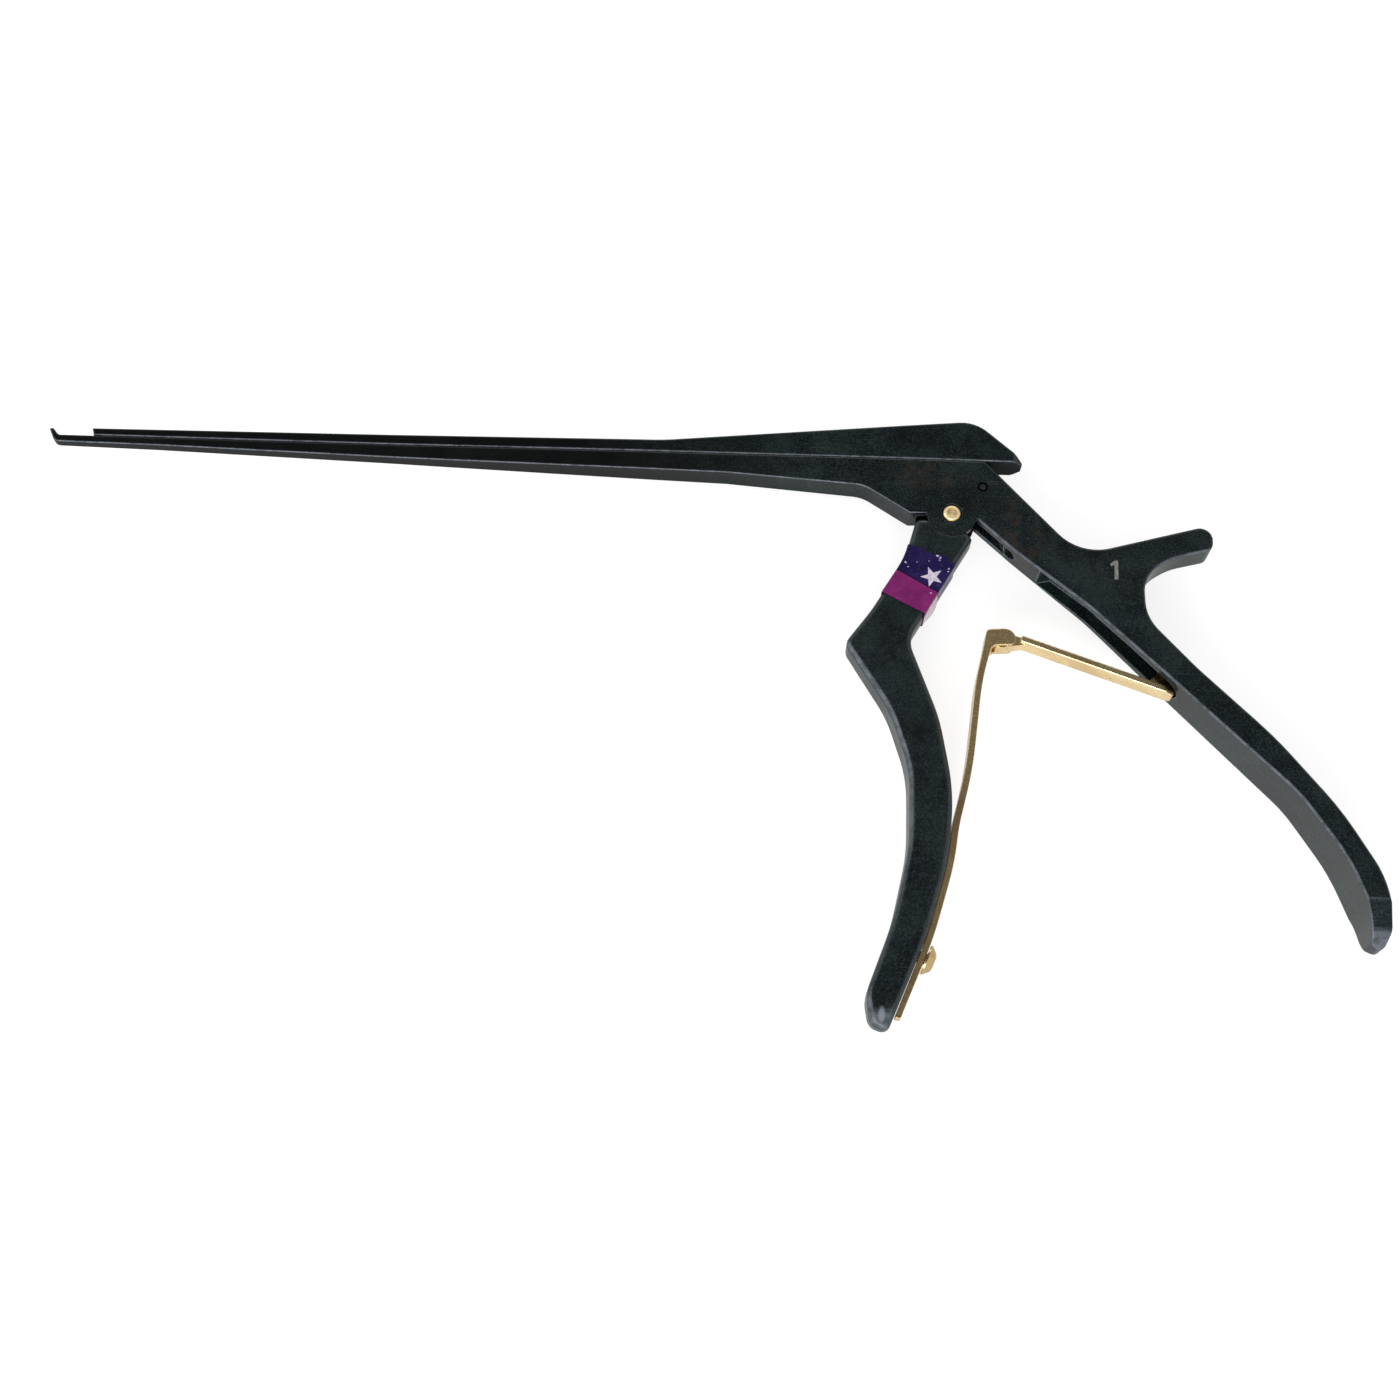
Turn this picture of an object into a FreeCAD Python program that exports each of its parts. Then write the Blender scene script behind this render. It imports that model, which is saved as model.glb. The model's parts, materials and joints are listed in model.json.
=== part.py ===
import FreeCAD, Part
import math
import os
import Sketcher

# Sliding bone punch lying on its side: shafts along X with the jaw at -X,
# handles towards -Y, thickness along Z. Every outline is drawn about the
# handle pivot, half way through the thickness, in millimetres.

SIZES = [
    # place of the pivot in the shared frame
    ("pivot_x", 55.735),
    ("pivot_y", 43.98),
    # widths across the instrument
    ("palm_width", 13.5),
    ("body_width", 6.4),
    ("grip_width", 9.4),
    ("tongue_width", 3.2),
    ("fork_slot_width", 3.4),
    ("recess_width", 6.0),
    ("spring_width", 5.0),
    ("strut_width", 4.4),
    ("neck_width", 2.8),
    ("ear_gap", 3.1),
    ("lug_width", 2.8),
    # guide rails of the slide
    ("front_key_neck", 0.7),
    ("front_key_head", 1.2),
    ("rear_key_neck", 1.7),
    ("rear_key_head", 3.1),
    ("rail_gap", 0.1),
    # pivot screw and its bores
    ("screw_shank_radius", 1.4),
    ("screw_thread_radius", 1.2),
    ("screw_head_radius", 1.87),
    ("head_ring_gap", 0.28),
    ("running_gap", 0.05),
    ("seat_gap", 0.02),
    # small pins
    ("stop_pin_radius", 0.95),
    ("strut_pin_radius", 0.7),
    ("link_pin_radius", 0.55),
    ("link_clearance", 0.7),
    ("stop_pin_length", 6.3),
    ("strut_pin_length", 8.2),
    ("link_pin_length", 4.3),
    # rounded and broken edges
    ("edge_chamfer", 0.35),
    ("shaft_round", 0.4),
    ("slide_round", 0.5),
    ("grip_round", 1.5),
    # leaf spring screw
    ("leaf_screw_head", 3.0),
    ("leaf_screw_shank", 1.2),
    # jaw
    ("cup_radius", 0.45),
    ("cup_depth", 1.6),
    # marking tape
    ("tape_thickness", 0.12),
]
SIZE = dict(SIZES)

JOINT_Y = 12.8
SLIDE_GAP = 0.05
BOSS_R = 5.3
SHOULDER_R = 5.45
TONGUE_TILT = math.radians(12.6)
DRIVE_R = 17.2
DRIVE_END_R = 2.3
HUMP_Y = DRIVE_R + 5.37
STOP_PIN = (6.6, 6.5)
STRUT_PIN = (43.55, -34.8)
LINK_PIN = (10.3, -28.2)
LEAF_SCREW = (-6.78, -95.9)
LEAF_SCREW_TILT = math.degrees(math.atan2(-0.3666, 0.9304))
LEAF_THICK = 1.3


def cell(name):
    return "Sizes." + name


def make_sizes(doc):
    sheet = doc.addObject("Spreadsheet::Sheet", "Sizes")
    sheet.Label = "Sizes"
    for row, (name, value) in enumerate(SIZES, start=1):
        sheet.set("A%d" % row, name)
        sheet.set("B%d" % row, "%g" % value)
        sheet.setAlias("B%d" % row, name)
    doc.recompute()
    return sheet


def make_body(doc, name):
    body = doc.addObject("PartDesign::Body", name)
    body.Label = name
    place_at_pivot(body)
    return body


def place_at_pivot(item, centre=(0, 0), drop=""):
    """Puts an item at a point drawn about the pivot, half way up the thickness."""
    item.setExpression("Placement.Base.x", "Sizes.pivot_x + (%g)" % centre[0])
    item.setExpression("Placement.Base.y", "Sizes.pivot_y + (%g)" % centre[1])
    item.setExpression("Placement.Base.z", "Sizes.palm_width / 2" + drop)


def origin_plane(body, role):
    for feature in body.Origin.OriginFeatures:
        if feature.Role == role:
            return feature
    raise ValueError(role)


def corner_points(path, index):
    """Start and end point of an item of an outline."""
    item = path[index % len(path)]
    if item[0] == "arc":
        cx, cy, r, a0, a1 = item[1:]
        first = (cx + r * math.cos(math.radians(a0)), cy + r * math.sin(math.radians(a0)))
        last = (cx + r * math.cos(math.radians(a1)), cy + r * math.sin(math.radians(a1)))
        return first, last
    return (item[0], item[1]), (item[0], item[1])


def add_arc(sketch, first, middle, last):
    points = [FreeCAD.Vector(p[0], p[1], 0) for p in (first, middle, last)]
    sketch.addGeometry(Part.Arc(*points), False)


def arc_piece(path, index):
    """Start, middle and end point of an arc in an outline."""
    cx, cy, r, a0, a1 = path[index][1:]
    am = math.radians((a0 + a1) / 2)
    first, last = corner_points(path, index)
    return first, (cx + r * math.cos(am), cy + r * math.sin(am)), last


def corner_piece(path, index):
    """Start, middle and end point of a rounded corner; a sharp corner has no middle."""
    item = path[index]
    here = FreeCAD.Vector(item[0], item[1], 0)
    radius = item[2] if len(item) > 2 else 0
    if not radius:
        return (here.x, here.y), None, (here.x, here.y)
    before = FreeCAD.Vector(*corner_points(path, index - 1)[1], 0)
    after = FreeCAD.Vector(*corner_points(path, index + 1)[0], 0)
    u = (before - here).normalize()
    v = (after - here).normalize()
    half = u.getAngle(v) / 2
    run = radius / math.tan(half)
    centre = here + (u + v).normalize() * (radius / math.sin(half))
    middle = centre + (here - centre).normalize() * radius
    start = here + u * run
    end = here + v * run
    return (start.x, start.y), (middle.x, middle.y), (end.x, end.y)


def add_line(sketch, first, last):
    if math.hypot(last[0] - first[0], last[1] - first[1]) > 1e-6:
        a = FreeCAD.Vector(first[0], first[1], 0)
        b = FreeCAD.Vector(last[0], last[1], 0)
        sketch.addGeometry(Part.LineSegment(a, b), False)


def draw(sketch, path):
    """Closed outline of corners (x, y, rounding) and arcs ("arc", cx, cy, r, start, end)."""
    pieces = []
    for i, item in enumerate(path):
        pieces.append(arc_piece(path, i) if item[0] == "arc" else corner_piece(path, i))
    for i, (first, middle, last) in enumerate(pieces):
        if middle:
            add_arc(sketch, first, middle, last)
        add_line(sketch, last, pieces[(i + 1) % len(pieces)][0])


def make_sketch(body, name, role, paths, offset=None):
    sketch = body.newObject("Sketcher::SketchObject", name)
    sketch.AttachmentSupport = [(origin_plane(body, role), "")]
    sketch.MapMode = "FlatFace"
    if offset:
        sketch.AttachmentOffset = offset
    for path in paths:
        draw(sketch, path)
    sketch.Visibility = False
    return sketch


def extrude(doc, body, name, kind, sketch, length, symmetric=True):
    feature = body.newObject("PartDesign::" + kind, name)
    feature.Profile = sketch
    if symmetric:
        feature.SideType = "Symmetric"
    if isinstance(length, str):
        feature.setExpression("Length", length)
    else:
        feature.Length = length
    doc.recompute()
    check(feature)
    return feature


def pad(doc, body, name, paths, length, role="XY_Plane"):
    sketch = make_sketch(body, name + "_outline", role, paths)
    return extrude(doc, body, name, "Pad", sketch, length)


def pocket(doc, body, name, paths, length, role="XY_Plane", offset=None, symmetric=True):
    sketch = make_sketch(body, name + "_outline", role, paths, offset)
    return extrude(doc, body, name, "Pocket", sketch, length, symmetric)


def bore(doc, body, name, centre, radius, length, offset=None, symmetric=True, role="XY_Plane"):
    sketch = make_sketch(body, name + "_circle", role, [], offset)
    place = FreeCAD.Vector(centre[0], centre[1], 0)
    sketch.addGeometry(Part.Circle(place, FreeCAD.Vector(0, 0, 1), 1.0), False)
    sketch.addConstraint(Sketcher.Constraint("Radius", 0, 1.0))
    sketch.setExpression("Constraints[0]", radius)
    return extrude(doc, body, name, "Pocket", sketch, length, symmetric)


def box_path(x0, y0, x1, y1):
    return [(x0, y0), (x1, y0), (x1, y1), (x0, y1)]


def revolve(doc, body, name, path, kind="Revolution"):
    sketch = make_sketch(body, name + "_outline", "XZ_Plane", [path])
    feature = body.newObject("PartDesign::" + kind, name)
    feature.Profile = sketch
    feature.ReferenceAxis = (sketch, ["V_Axis"])
    feature.Angle = 360
    doc.recompute()
    check(feature)
    return feature


def soften(doc, body, name, kind, amount, test):
    """Round or chamfer the edges whose middle point passes the test."""
    base = body.Tip
    names = []
    for i, edge in enumerate(base.Shape.Edges, start=1):
        middle = edge.valueAt((edge.FirstParameter + edge.LastParameter) / 2)
        if edge.Length > 0.05 and test(middle, edge):
            names.append("Edge%d" % i)
    feature = body.newObject("PartDesign::" + kind, name)
    feature.Base = (base, names)
    feature.setExpression("Radius" if kind == "Fillet" else "Size", amount)
    doc.recompute()
    check(feature)
    return feature


def check(feature):
    state = " ".join(feature.State)
    if "Invalid" in state or "Error" in state or feature.Shape.isNull():
        raise ValueError(feature.Name + " failed: " + state)
    if not feature.Shape.isValid():
        raise ValueError(feature.Name + " is not valid")


def turned(point, angle):
    c, s = math.cos(angle), math.sin(angle)
    return (c * point[0] + s * point[1], -s * point[0] + c * point[1])


def side_cut(profile, reach):
    """Two outlines that trim both sides to a half width given along an axis."""
    near = [(profile[0][0], reach)] + list(profile) + [(profile[-1][0], reach)]
    far = [(p[0], -p[1]) + tuple(p[2:]) for p in near]
    return [near, far]


# half widths along the shafts, and down the rear handle and the front handle
BODY_HALF = SIZE["body_width"] / 2
NECK_HALF = BODY_HALF + 0.1
GRIP_HALF = SIZE["grip_width"] / 2
SHAFT_SIDES = [(-200, 1.15), (-120, 1.65), (-66, 2.65), (-10, BODY_HALF), (-9, BODY_HALF)]
SLIDE_SIDES = SHAFT_SIDES[:-1] + [(20, BODY_HALF)]
REAR_SIDES = [
    (30, BODY_HALF), (-8, BODY_HALF, 30), (-17, 4.0, 30), (-35, 5.1, 60), (-76, 6.75), (-97, 7.6),
]
GRIP_SIDES = [
    (10, NECK_HALF), (-31, NECK_HALF, 25), (-60, GRIP_HALF, 60), (-96, GRIP_HALF, 14),
    (-106.5, 4.0, 8), (-111.3, 1.6, 3), (-112, 0.6),
]


def jaw_and_lower_shaft():
    return [
        (-195.95, 14.3, 0.25), (-195.05, 14.4, 0.25), (-193.7, JOINT_Y, 1.1),
        (7.2, JOINT_Y),
    ]


def handle_back():
    return [
        (26.9, -8.7, 10.5), (55.2, -0.5, 2.6), (54.8, -6.5, 2.0), (46.5, -8.7, 14),
        (39.9, -12.8, 8.0), (39.9, -23.1, 10.0), (49.7, -34.45, 60), (64.3, -49.2, 80),
        (76.1, -64.35, 60), (83.95, -78.8, 22), (84.4, -88.2, 4.0), (83.0, -92.1, 1.2),
    ]


def handle_inside():
    return [
        (80.8, -90.6, 1.2), (80.3, -85.0, 15), (76.3, -74.0, 40), (68.0, -61.2, 30),
        (28.4, -21.3, 40), (12.8, -8.2, 20),
    ]


def shaft_underside():
    return [
        (-8.9, -0.25, 0.4), (-18.8, 6.1, 8), (-48.0, 8.15), (-110.0, 9.4),
        (-172.0, 10.85), (-194.4, 11.1, 1.5),
    ]


def make_frame(doc):
    body = make_body(doc, "shaft_and_rear_handle")
    boss = ("arc", 0, 0, BOSS_R, -11.5, -178.9)
    outline = jaw_and_lower_shaft() + handle_back() + handle_inside()
    outline = outline + [boss] + shaft_underside()
    pad(doc, body, "forging", [outline], cell("palm_width"))
    pocket(doc, body, "shaft_sides", side_cut(SHAFT_SIDES, 9), 60, "XZ_Plane")
    pocket(doc, body, "handle_sides", side_cut(REAR_SIDES, 9), 200, "YZ_Plane")
    soften_frame(doc, body)
    cut_fork(doc, body)
    cut_recess(doc, body)
    cut_rails(doc, body)
    cut_pin_holes(doc, body)
    return body


def on_side(edge):
    """True for an edge that runs along the side of a plate, not across it."""
    a = edge.valueAt(edge.FirstParameter)
    b = edge.valueAt(edge.LastParameter)
    return abs(a.z - b.z) < 0.5 * abs((b - a).Length) and abs(a.z) > 0.9 and abs(b.z) > 0.9


def soften_frame(doc, body):
    """Breaks the handle's edges, rounds the palm end and eases the shaft's underside."""
    soften(doc, body, "handle_edges", "Chamfer", cell("edge_chamfer"),
           lambda p, e: on_side(e) and p.y < 12.0 and p.x > 7.3)
    palm_end = [(-79.5, 8.2), (-82.5, 6.6, 6), (-88.8, 4.3, 6), (-92.6, 0.6)]
    pocket(doc, body, "palm_end", side_cut(palm_end, 9), 200, "YZ_Plane")
    soften(doc, body, "underside_round", "Fillet", cell("shaft_round"),
           lambda p, e: on_side(e) and p.x < -6 and p.y < 10.9 and math.hypot(p.x, p.y) > 6)


def cut_fork(doc, body):
    slot = [
        (-7.4, 14.0), (-7.4, -12.0), (10.6, -12.0), (11.4, -6.2), (8.2, 3.5), (8.2, 14.0),
    ]
    pocket(doc, body, "fork_slot", [slot], cell("fork_slot_width"))
    turn = FreeCAD.Rotation(FreeCAD.Vector(0, 1, 0), -40.0)
    spot = FreeCAD.Placement(FreeCAD.Vector(11.2, 0, 8.6), turn)
    bore(doc, body, "slot_end", (0, 0), cell("fork_slot_width") + " / 2", 4.5, spot, False,
         "XZ_Plane")


def cut_recess(doc, body):
    outline = [
        (17.7, -12.9), (21.3, -12.1), (29.2, -18.3), (46.0, -34.7), (42.2, -38.5),
        (26.0, -24.5), (16.4, -15.6),
    ]
    pocket(doc, body, "strut_recess", [outline], cell("recess_width"))
    turn = FreeCAD.Rotation(FreeCAD.Vector(0, 1, 0), -44.6)
    spot = FreeCAD.Placement(FreeCAD.Vector(42.9, 0, 37.8), turn)
    bore(doc, body, "recess_end", (0, 0), cell("recess_width") + " / 2", 4.15, spot, False,
         "XZ_Plane")


def cut_rails(doc, body):
    gap = " + " + cell("rail_gap")
    pocket(doc, body, "front_groove", [box_path(-184.2, 12.25, -165.9, 14.0)],
           cell("front_key_neck") + gap)
    pocket(doc, body, "front_groove_head", [box_path(-184.2, 11.6, -165.9, 12.3)],
           cell("front_key_head") + gap)
    pocket(doc, body, "front_entry", [box_path(-165.9, 11.6, -155.5, 14.0)],
           cell("front_key_head") + gap)
    pocket(doc, body, "rear_groove", [box_path(-52.2, 11.6, -29.9, 14.0)],
           cell("rear_key_neck") + gap)
    pocket(doc, body, "rear_groove_head", [box_path(-52.2, 10.6, -29.9, 11.7)],
           cell("rear_key_head") + gap)
    pocket(doc, body, "rear_entry", [box_path(-29.9, 10.6, -15.5, 14.0)],
           cell("rear_key_head") + gap)


def cut_pin_holes(doc, body):
    gap = " + " + cell("running_gap")
    snug = " + " + cell("seat_gap")
    bore(doc, body, "thread_hole", (0, 0), cell("screw_thread_radius") + snug, 20)
    above = FreeCAD.Placement(FreeCAD.Vector(0, 0, 5.0), FreeCAD.Rotation())
    bore(doc, body, "shank_hole", (0, 0), cell("screw_shank_radius") + gap, 5.0, above, False)
    ring = cell("screw_head_radius") + " + " + cell("head_ring_gap")
    bore(doc, body, "head_ring", (0, 0), ring, 2.55, above, False)
    bore(doc, body, "stop_pin_hole", STOP_PIN, cell("stop_pin_radius") + snug, 20)
    bore(doc, body, "strut_pin_hole", STRUT_PIN, cell("strut_pin_radius") + snug, 8.24)


def make_slide(doc):
    body = make_body(doc, "sliding_shaft")
    low = JOINT_Y + SLIDE_GAP
    outline = [
        (-186.6, 14.65, 0.15), (-118.8, 15.35), (-62.0, 15.8, 60), (5.17, HUMP_Y, 8.0),
        (16.2, low, 0.5), (-186.0, low, 0.15),
    ]
    pad(doc, body, "rail_bar", [outline], 6.6)
    pocket(doc, body, "slide_sides", side_cut(SLIDE_SIDES, 9), 60, "XZ_Plane")
    nose = [
        (10.8, 8), (10.8, 3.4), (13.4, 3.4, 3.0), (15.6, 1.1, 2.0), (16.7, 0), (18.0, 0), (18.0, 8),
    ]
    mirror = [(x, -y) + tuple(r) for x, y, *r in nose]
    pocket(doc, body, "nose_near", [nose], 60, "XZ_Plane")
    pocket(doc, body, "nose_far", [mirror], 60, "XZ_Plane")
    soften(doc, body, "top_round", "Fillet", cell("slide_round"),
           lambda p, e: on_side(e) and p.y > 14.2 and p.x > -186.2)
    cut_drive_slot(doc, body, low)
    add_keys(doc, body, low)
    cup = FreeCAD.Placement(FreeCAD.Vector(0, 0, -187.5), FreeCAD.Rotation())
    bore(doc, body, "bone_cup", (13.62, 0), cell("cup_radius"),
         cell("cup_depth") + " + 1.05", cup, False, "YZ_Plane")
    return body


def cut_drive_slot(doc, body, low):
    """Upright pocket in the hump for the round end of the handle's tongue."""
    x = DRIVE_R * math.sin(TONGUE_TILT)
    half = DRIVE_END_R + 0.06
    top = DRIVE_R + DRIVE_END_R + 0.25
    outline = [(x - half, low - 1), (x + half, low - 1), (x + half, top, 1.2), (x - half, top, 1.2)]
    pocket(doc, body, "drive_slot", [outline], cell("fork_slot_width"))


def add_keys(doc, body, low):
    pad(doc, body, "front_key", [box_path(-175.9, 12.2, -166.1, low + 0.4)], cell("front_key_neck"))
    pad(doc, body, "front_key_flange", [box_path(-175.9, 11.7, -166.1, 12.2)], cell("front_key_head"))
    pad(doc, body, "rear_key", [box_path(-44.0, 11.5, -30.1, low + 0.4)], cell("rear_key_neck"))
    pad(doc, body, "rear_key_flange", [box_path(-44.0, 10.7, -30.1, 11.5)], cell("rear_key_head"))


GRIP_FRONT = [
    (-7.5, -1.4, 1.0), (-10.0, -11.0, 20), (-16.9, -22.9, 30), (-22.4, -30.7, 2.6),
    (-13.2, -45.2, 30), (-9.0, -58.0, 30), (-9.0, -74.0, 40), (-12.1, -89.6, 60),
    (-17.3, -104.3, 8), (-16.6, -110.0, 2.8),
]
GRIP_REAR = [
    (-12.9, -111.3, 1.7), (-5.3, -92.0, 80), (-1.25, -77.0, 60), (-0.05, -63.0, 50),
    (-2.8, -46.8, 40), (-9.1, -29.3, 6), (4.3, -5.7, 0.4),
]


def make_front_handle(doc):
    body = make_body(doc, "front_handle")
    shoulder = ("arc", 0, 0, SHOULDER_R, -52, -166)
    outline = GRIP_REAR + [shoulder] + GRIP_FRONT
    pad(doc, body, "grip", [outline], cell("grip_width") + " + 1")
    pocket(doc, body, "grip_sides", side_cut(GRIP_SIDES, 9), 100, "YZ_Plane")
    soften_grip(doc, body)
    add_tongue(doc, body)
    bore(doc, body, "pivot_bore", (0, 0),
         cell("screw_shank_radius") + " + " + cell("running_gap"), 20)
    drill_leaf_screw(doc, body)
    return body


def soften_grip(doc, body):
    soften(doc, body, "finger_round", "Fillet", cell("grip_round"),
           lambda p, e: on_side(e) and on_finger_side(p))


def on_finger_side(p):
    return -112 < p.y < -33 and abs(p.x - edge_x(GRIP_FRONT, p.y)) < 1.4


def add_tongue(doc, body):
    local = [
        (-3.4, -8.0), (4.4, -8.0), (4.1, 3.0, 2), (3.97, DRIVE_R - 8.6, 1.5),
        (1.3, DRIVE_R - 4.8, 2), (1.3, DRIVE_R - 2.2), (-1.3, DRIVE_R - 2.2),
        (-1.3, DRIVE_R - 5.2, 2), (-3.4, DRIVE_R - 10.2, 2),
    ]
    path = [turned((p[0], p[1]), TONGUE_TILT) + tuple(p[2:]) for p in local]
    pad(doc, body, "tongue", [path], cell("tongue_width"))
    cx, cy = turned((0, DRIVE_R), TONGUE_TILT)
    circle = [("arc", cx, cy, DRIVE_END_R, 0, 180), ("arc", cx, cy, DRIVE_END_R, 180, 360)]
    pad(doc, body, "drive_end", [circle], cell("tongue_width"))


def leaf_screw_spot(out):
    """Place on the screw's axis, with the sketch facing along it, at a height over the handle."""
    a = math.radians(LEAF_SCREW_TILT)
    x = LEAF_SCREW[0] + out * math.cos(a)
    y = LEAF_SCREW[1] + out * math.sin(a)
    turn = FreeCAD.Rotation(FreeCAD.Vector(0, 1, 0), 90 + LEAF_SCREW_TILT)
    return FreeCAD.Placement(FreeCAD.Vector(x, 0, -y), turn)


def drill_leaf_screw(doc, body):
    bore(doc, body, "leaf_screw_hole", (0, 0),
         cell("leaf_screw_shank") + " + " + cell("seat_gap"), 8.2, leaf_screw_spot(3.0), False,
         "XZ_Plane")


def make_leaf(doc):
    body = make_body(doc, "front_leaf_spring")
    front = [
        (-11.6, -108.3, 0.3), (-5.26, -92.0, 80), (-1.21, -77.0, 60), (-0.35, -69.5, 40),
        (2.6, -57.0, 90), (4.75, -38.0, 60), (6.5, -30.0, 5), (7.1, -26.4, 1.0),
    ]
    rear = [
        (12.6, -25.9, 2.4), (13.4, -29.5, 1.3), (8.1, -29.8, 1.6), (6.0, -38.0, 60),
        (3.9, -57.2, 90), (0.98, -69.7, 40), (0.09, -77.1, 60), (-4.04, -92.4, 80),
        (-10.4, -108.5, 0.4),
    ]
    pad(doc, body, "leaf", [rear[::-1] + front[::-1]], cell("spring_width"))
    gap = [(8.35, -20), (8.35, -31.5), (16, -31.5), (16, -20)]
    pocket(doc, body, "ear_slot", [gap], cell("ear_gap"))
    taper = [(-112, 1.2), (-108.0, 1.25, 1), (-102.0, 2.5), (-101.5, 2.6)]
    pocket(doc, body, "tail_taper", side_cut(taper, 9), 60, "YZ_Plane")
    bore(doc, body, "screw_hole", (0, 0),
         cell("leaf_screw_shank") + " + " + cell("running_gap"), 6, leaf_screw_spot(3.0), False,
         "XZ_Plane")
    bore(doc, body, "link_holes", LINK_PIN, cell("link_pin_radius") + " + " + cell("seat_gap"), 4.4)
    return body


def make_strut(doc):
    body = make_body(doc, "rear_spring_strut")
    bar = [
        (14.5, -27.3, 0.3), (45.6, -38.15, 0.5), (45.2, -39.45, 0.5), (14.1, -28.6, 0.3),
    ]
    pad(doc, body, "bar", [bar], cell("strut_width"))
    end = [(40, 4), (43.4, 2.22), (45.5, 1.4, 1.5), (46.3, 0), (48, 0), (48, 4)]
    mirror = [(x, -y) + tuple(r) for x, y, *r in end]
    pocket(doc, body, "end_near", [end], 100, "XZ_Plane")
    pocket(doc, body, "end_far", [mirror], 100, "XZ_Plane")
    soften(doc, body, "bar_edges", "Chamfer", "0.15 mm",
           lambda p, e: abs(abs(p.z) - SIZE["strut_width"] / 2) < 0.01 and e.Length > 10)
    x, y = LINK_PIN
    neck = [(x - 0.9, y + 1.6), (x + 0.4, y + 1.7), (16.0, -27.9), (15.6, -29.0), (x + 1.2, y - 1.5)]
    pad(doc, body, "neck", [neck], cell("neck_width"))
    knuckle = [("arc", x, y, 1.8, 0, 180), ("arc", x, y, 1.8, 180, 360)]
    pad(doc, body, "knuckle", [knuckle], cell("neck_width"))
    px, py = STRUT_PIN
    lug = [(px - 1.3, py + 0.3), (px + 1.2, py - 0.6), (44.7, -38.6), (39.8, -36.9)]
    pad(doc, body, "lug", [lug], cell("lug_width"))
    eye = [("arc", px, py, 1.4, 0, 180), ("arc", px, py, 1.4, 180, 360)]
    pad(doc, body, "eye", [eye], cell("lug_width"))
    bore(doc, body, "link_hole", LINK_PIN,
         cell("link_pin_radius") + " + " + cell("link_clearance"), 20)
    bore(doc, body, "eye_hole", STRUT_PIN,
         cell("strut_pin_radius") + " + " + cell("running_gap"), 20)
    return body


def make_pivot_screw(doc):
    body = make_body(doc, "pivot_screw")
    r = SIZE["screw_head_radius"]
    shank = SIZE["screw_shank_radius"]
    thread = SIZE["screw_thread_radius"]
    path = [
        (0, -3.1), (thread - 0.15, -3.1), (thread, -2.95), (thread, -1.67), (shank, -1.67),
        (shank, 2.47), (r, 2.47), (r, 3.1), (r - 0.5, 3.55, 0.5), (1.0, 3.55), (0.8, 3.15),
        (0, 3.0),
    ]
    revolve(doc, body, "screw", path)
    return body


def make_leaf_screw(doc):
    body = doc.addObject("PartDesign::Body", "leaf_spring_screw")
    body.Label = "leaf_spring_screw"
    tilt = FreeCAD.Rotation(FreeCAD.Vector(0, 0, 1), LEAF_SCREW_TILT)
    lay = FreeCAD.Rotation(FreeCAD.Vector(0, 1, 0), 90)
    body.Placement = FreeCAD.Placement(FreeCAD.Vector(0, 0, 0), tilt.multiply(lay))
    place_at_pivot(body, LEAF_SCREW)
    head, shank = SIZE["leaf_screw_head"], SIZE["leaf_screw_shank"]
    seat = LEAF_THICK + 0.07
    path = [
        (0, -5.0), (shank - 0.2, -5.0), (shank, -4.8), (shank, seat), (head, seat),
        (head, seat + 0.45), (1.6, seat + 1.85, 1.8), (0, seat + 1.85),
    ]
    revolve(doc, body, "screw", path)
    slot = make_sketch(body, "driver_slot_outline", "XZ_Plane",
                       [box_path(-0.35, seat + 1.05, 0.35, seat + 3)])
    extrude(doc, body, "driver_slot", "Pocket", slot, 8)
    return body


def make_pin(doc, name, centre, radius, length):
    pin = doc.addObject("Part::Cylinder", name)
    pin.Label = name
    pin.setExpression("Radius", radius)
    pin.setExpression("Height", cell(length))
    place_at_pivot(pin, centre, " - %s / 2" % cell(length))
    doc.recompute()
    return pin


def edge_x(outline, y):
    """x of a grip edge at a height, on the straight between its corners."""
    for a, b in zip(outline, outline[1:]):
        if min(a[1], b[1]) <= y <= max(a[1], b[1]):
            return a[0] + (b[0] - a[0]) * (y - a[1]) / (b[1] - a[1])
    return outline[-1][0] if y < outline[-1][1] else outline[0][0]


def make_tape(doc, name, top_left, top_right, low_left, low_right):
    """Sleeve of tape round the front handle between two slanting edges."""
    body = make_body(doc, name)
    wall = SIZE["tape_thickness"]
    gap = 0.03
    outer = []
    inner = []
    for y, edge, sign in ((top_left, GRIP_FRONT, -1), (low_left, GRIP_FRONT, -1),
                          (low_right, GRIP_REAR, 1), (top_right, GRIP_REAR, 1)):
        x = edge_x(edge, y)
        outer.append((x + sign * (wall + gap) * 1.15, y))
        inner.append((x + sign * gap * 1.15, y))
    bend = [p for p in GRIP_FRONT if low_left < p[1] < top_left]
    for p in bend[::-1]:
        outer.insert(1, (p[0] - (wall + gap) * 1.15, p[1]) + p[2:])
        inner.insert(1, (p[0] - gap * 1.15, p[1]) + p[2:])
    width = 2 * NECK_HALF
    pad(doc, body, "band", [outer], "%g + 2 * Sizes.tape_thickness" % (width + 2 * gap))
    soften(doc, body, "fold", "Fillet", "0.3 mm",
           lambda p, e: abs(abs(p.z) - width / 2 - gap - wall) < 0.01
           and on_grip_edge(p, wall + gap))
    hollow = stretch(inner)
    pocket(doc, body, "handle_space", [hollow], "%g mm" % (width + 2 * gap))
    return body


def on_grip_edge(p, off):
    near_front = abs(p.x - edge_x(GRIP_FRONT, p.y)) < off * 1.6
    near_rear = abs(p.x - edge_x(GRIP_REAR, p.y)) < off * 1.6
    return near_front or near_rear


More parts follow.
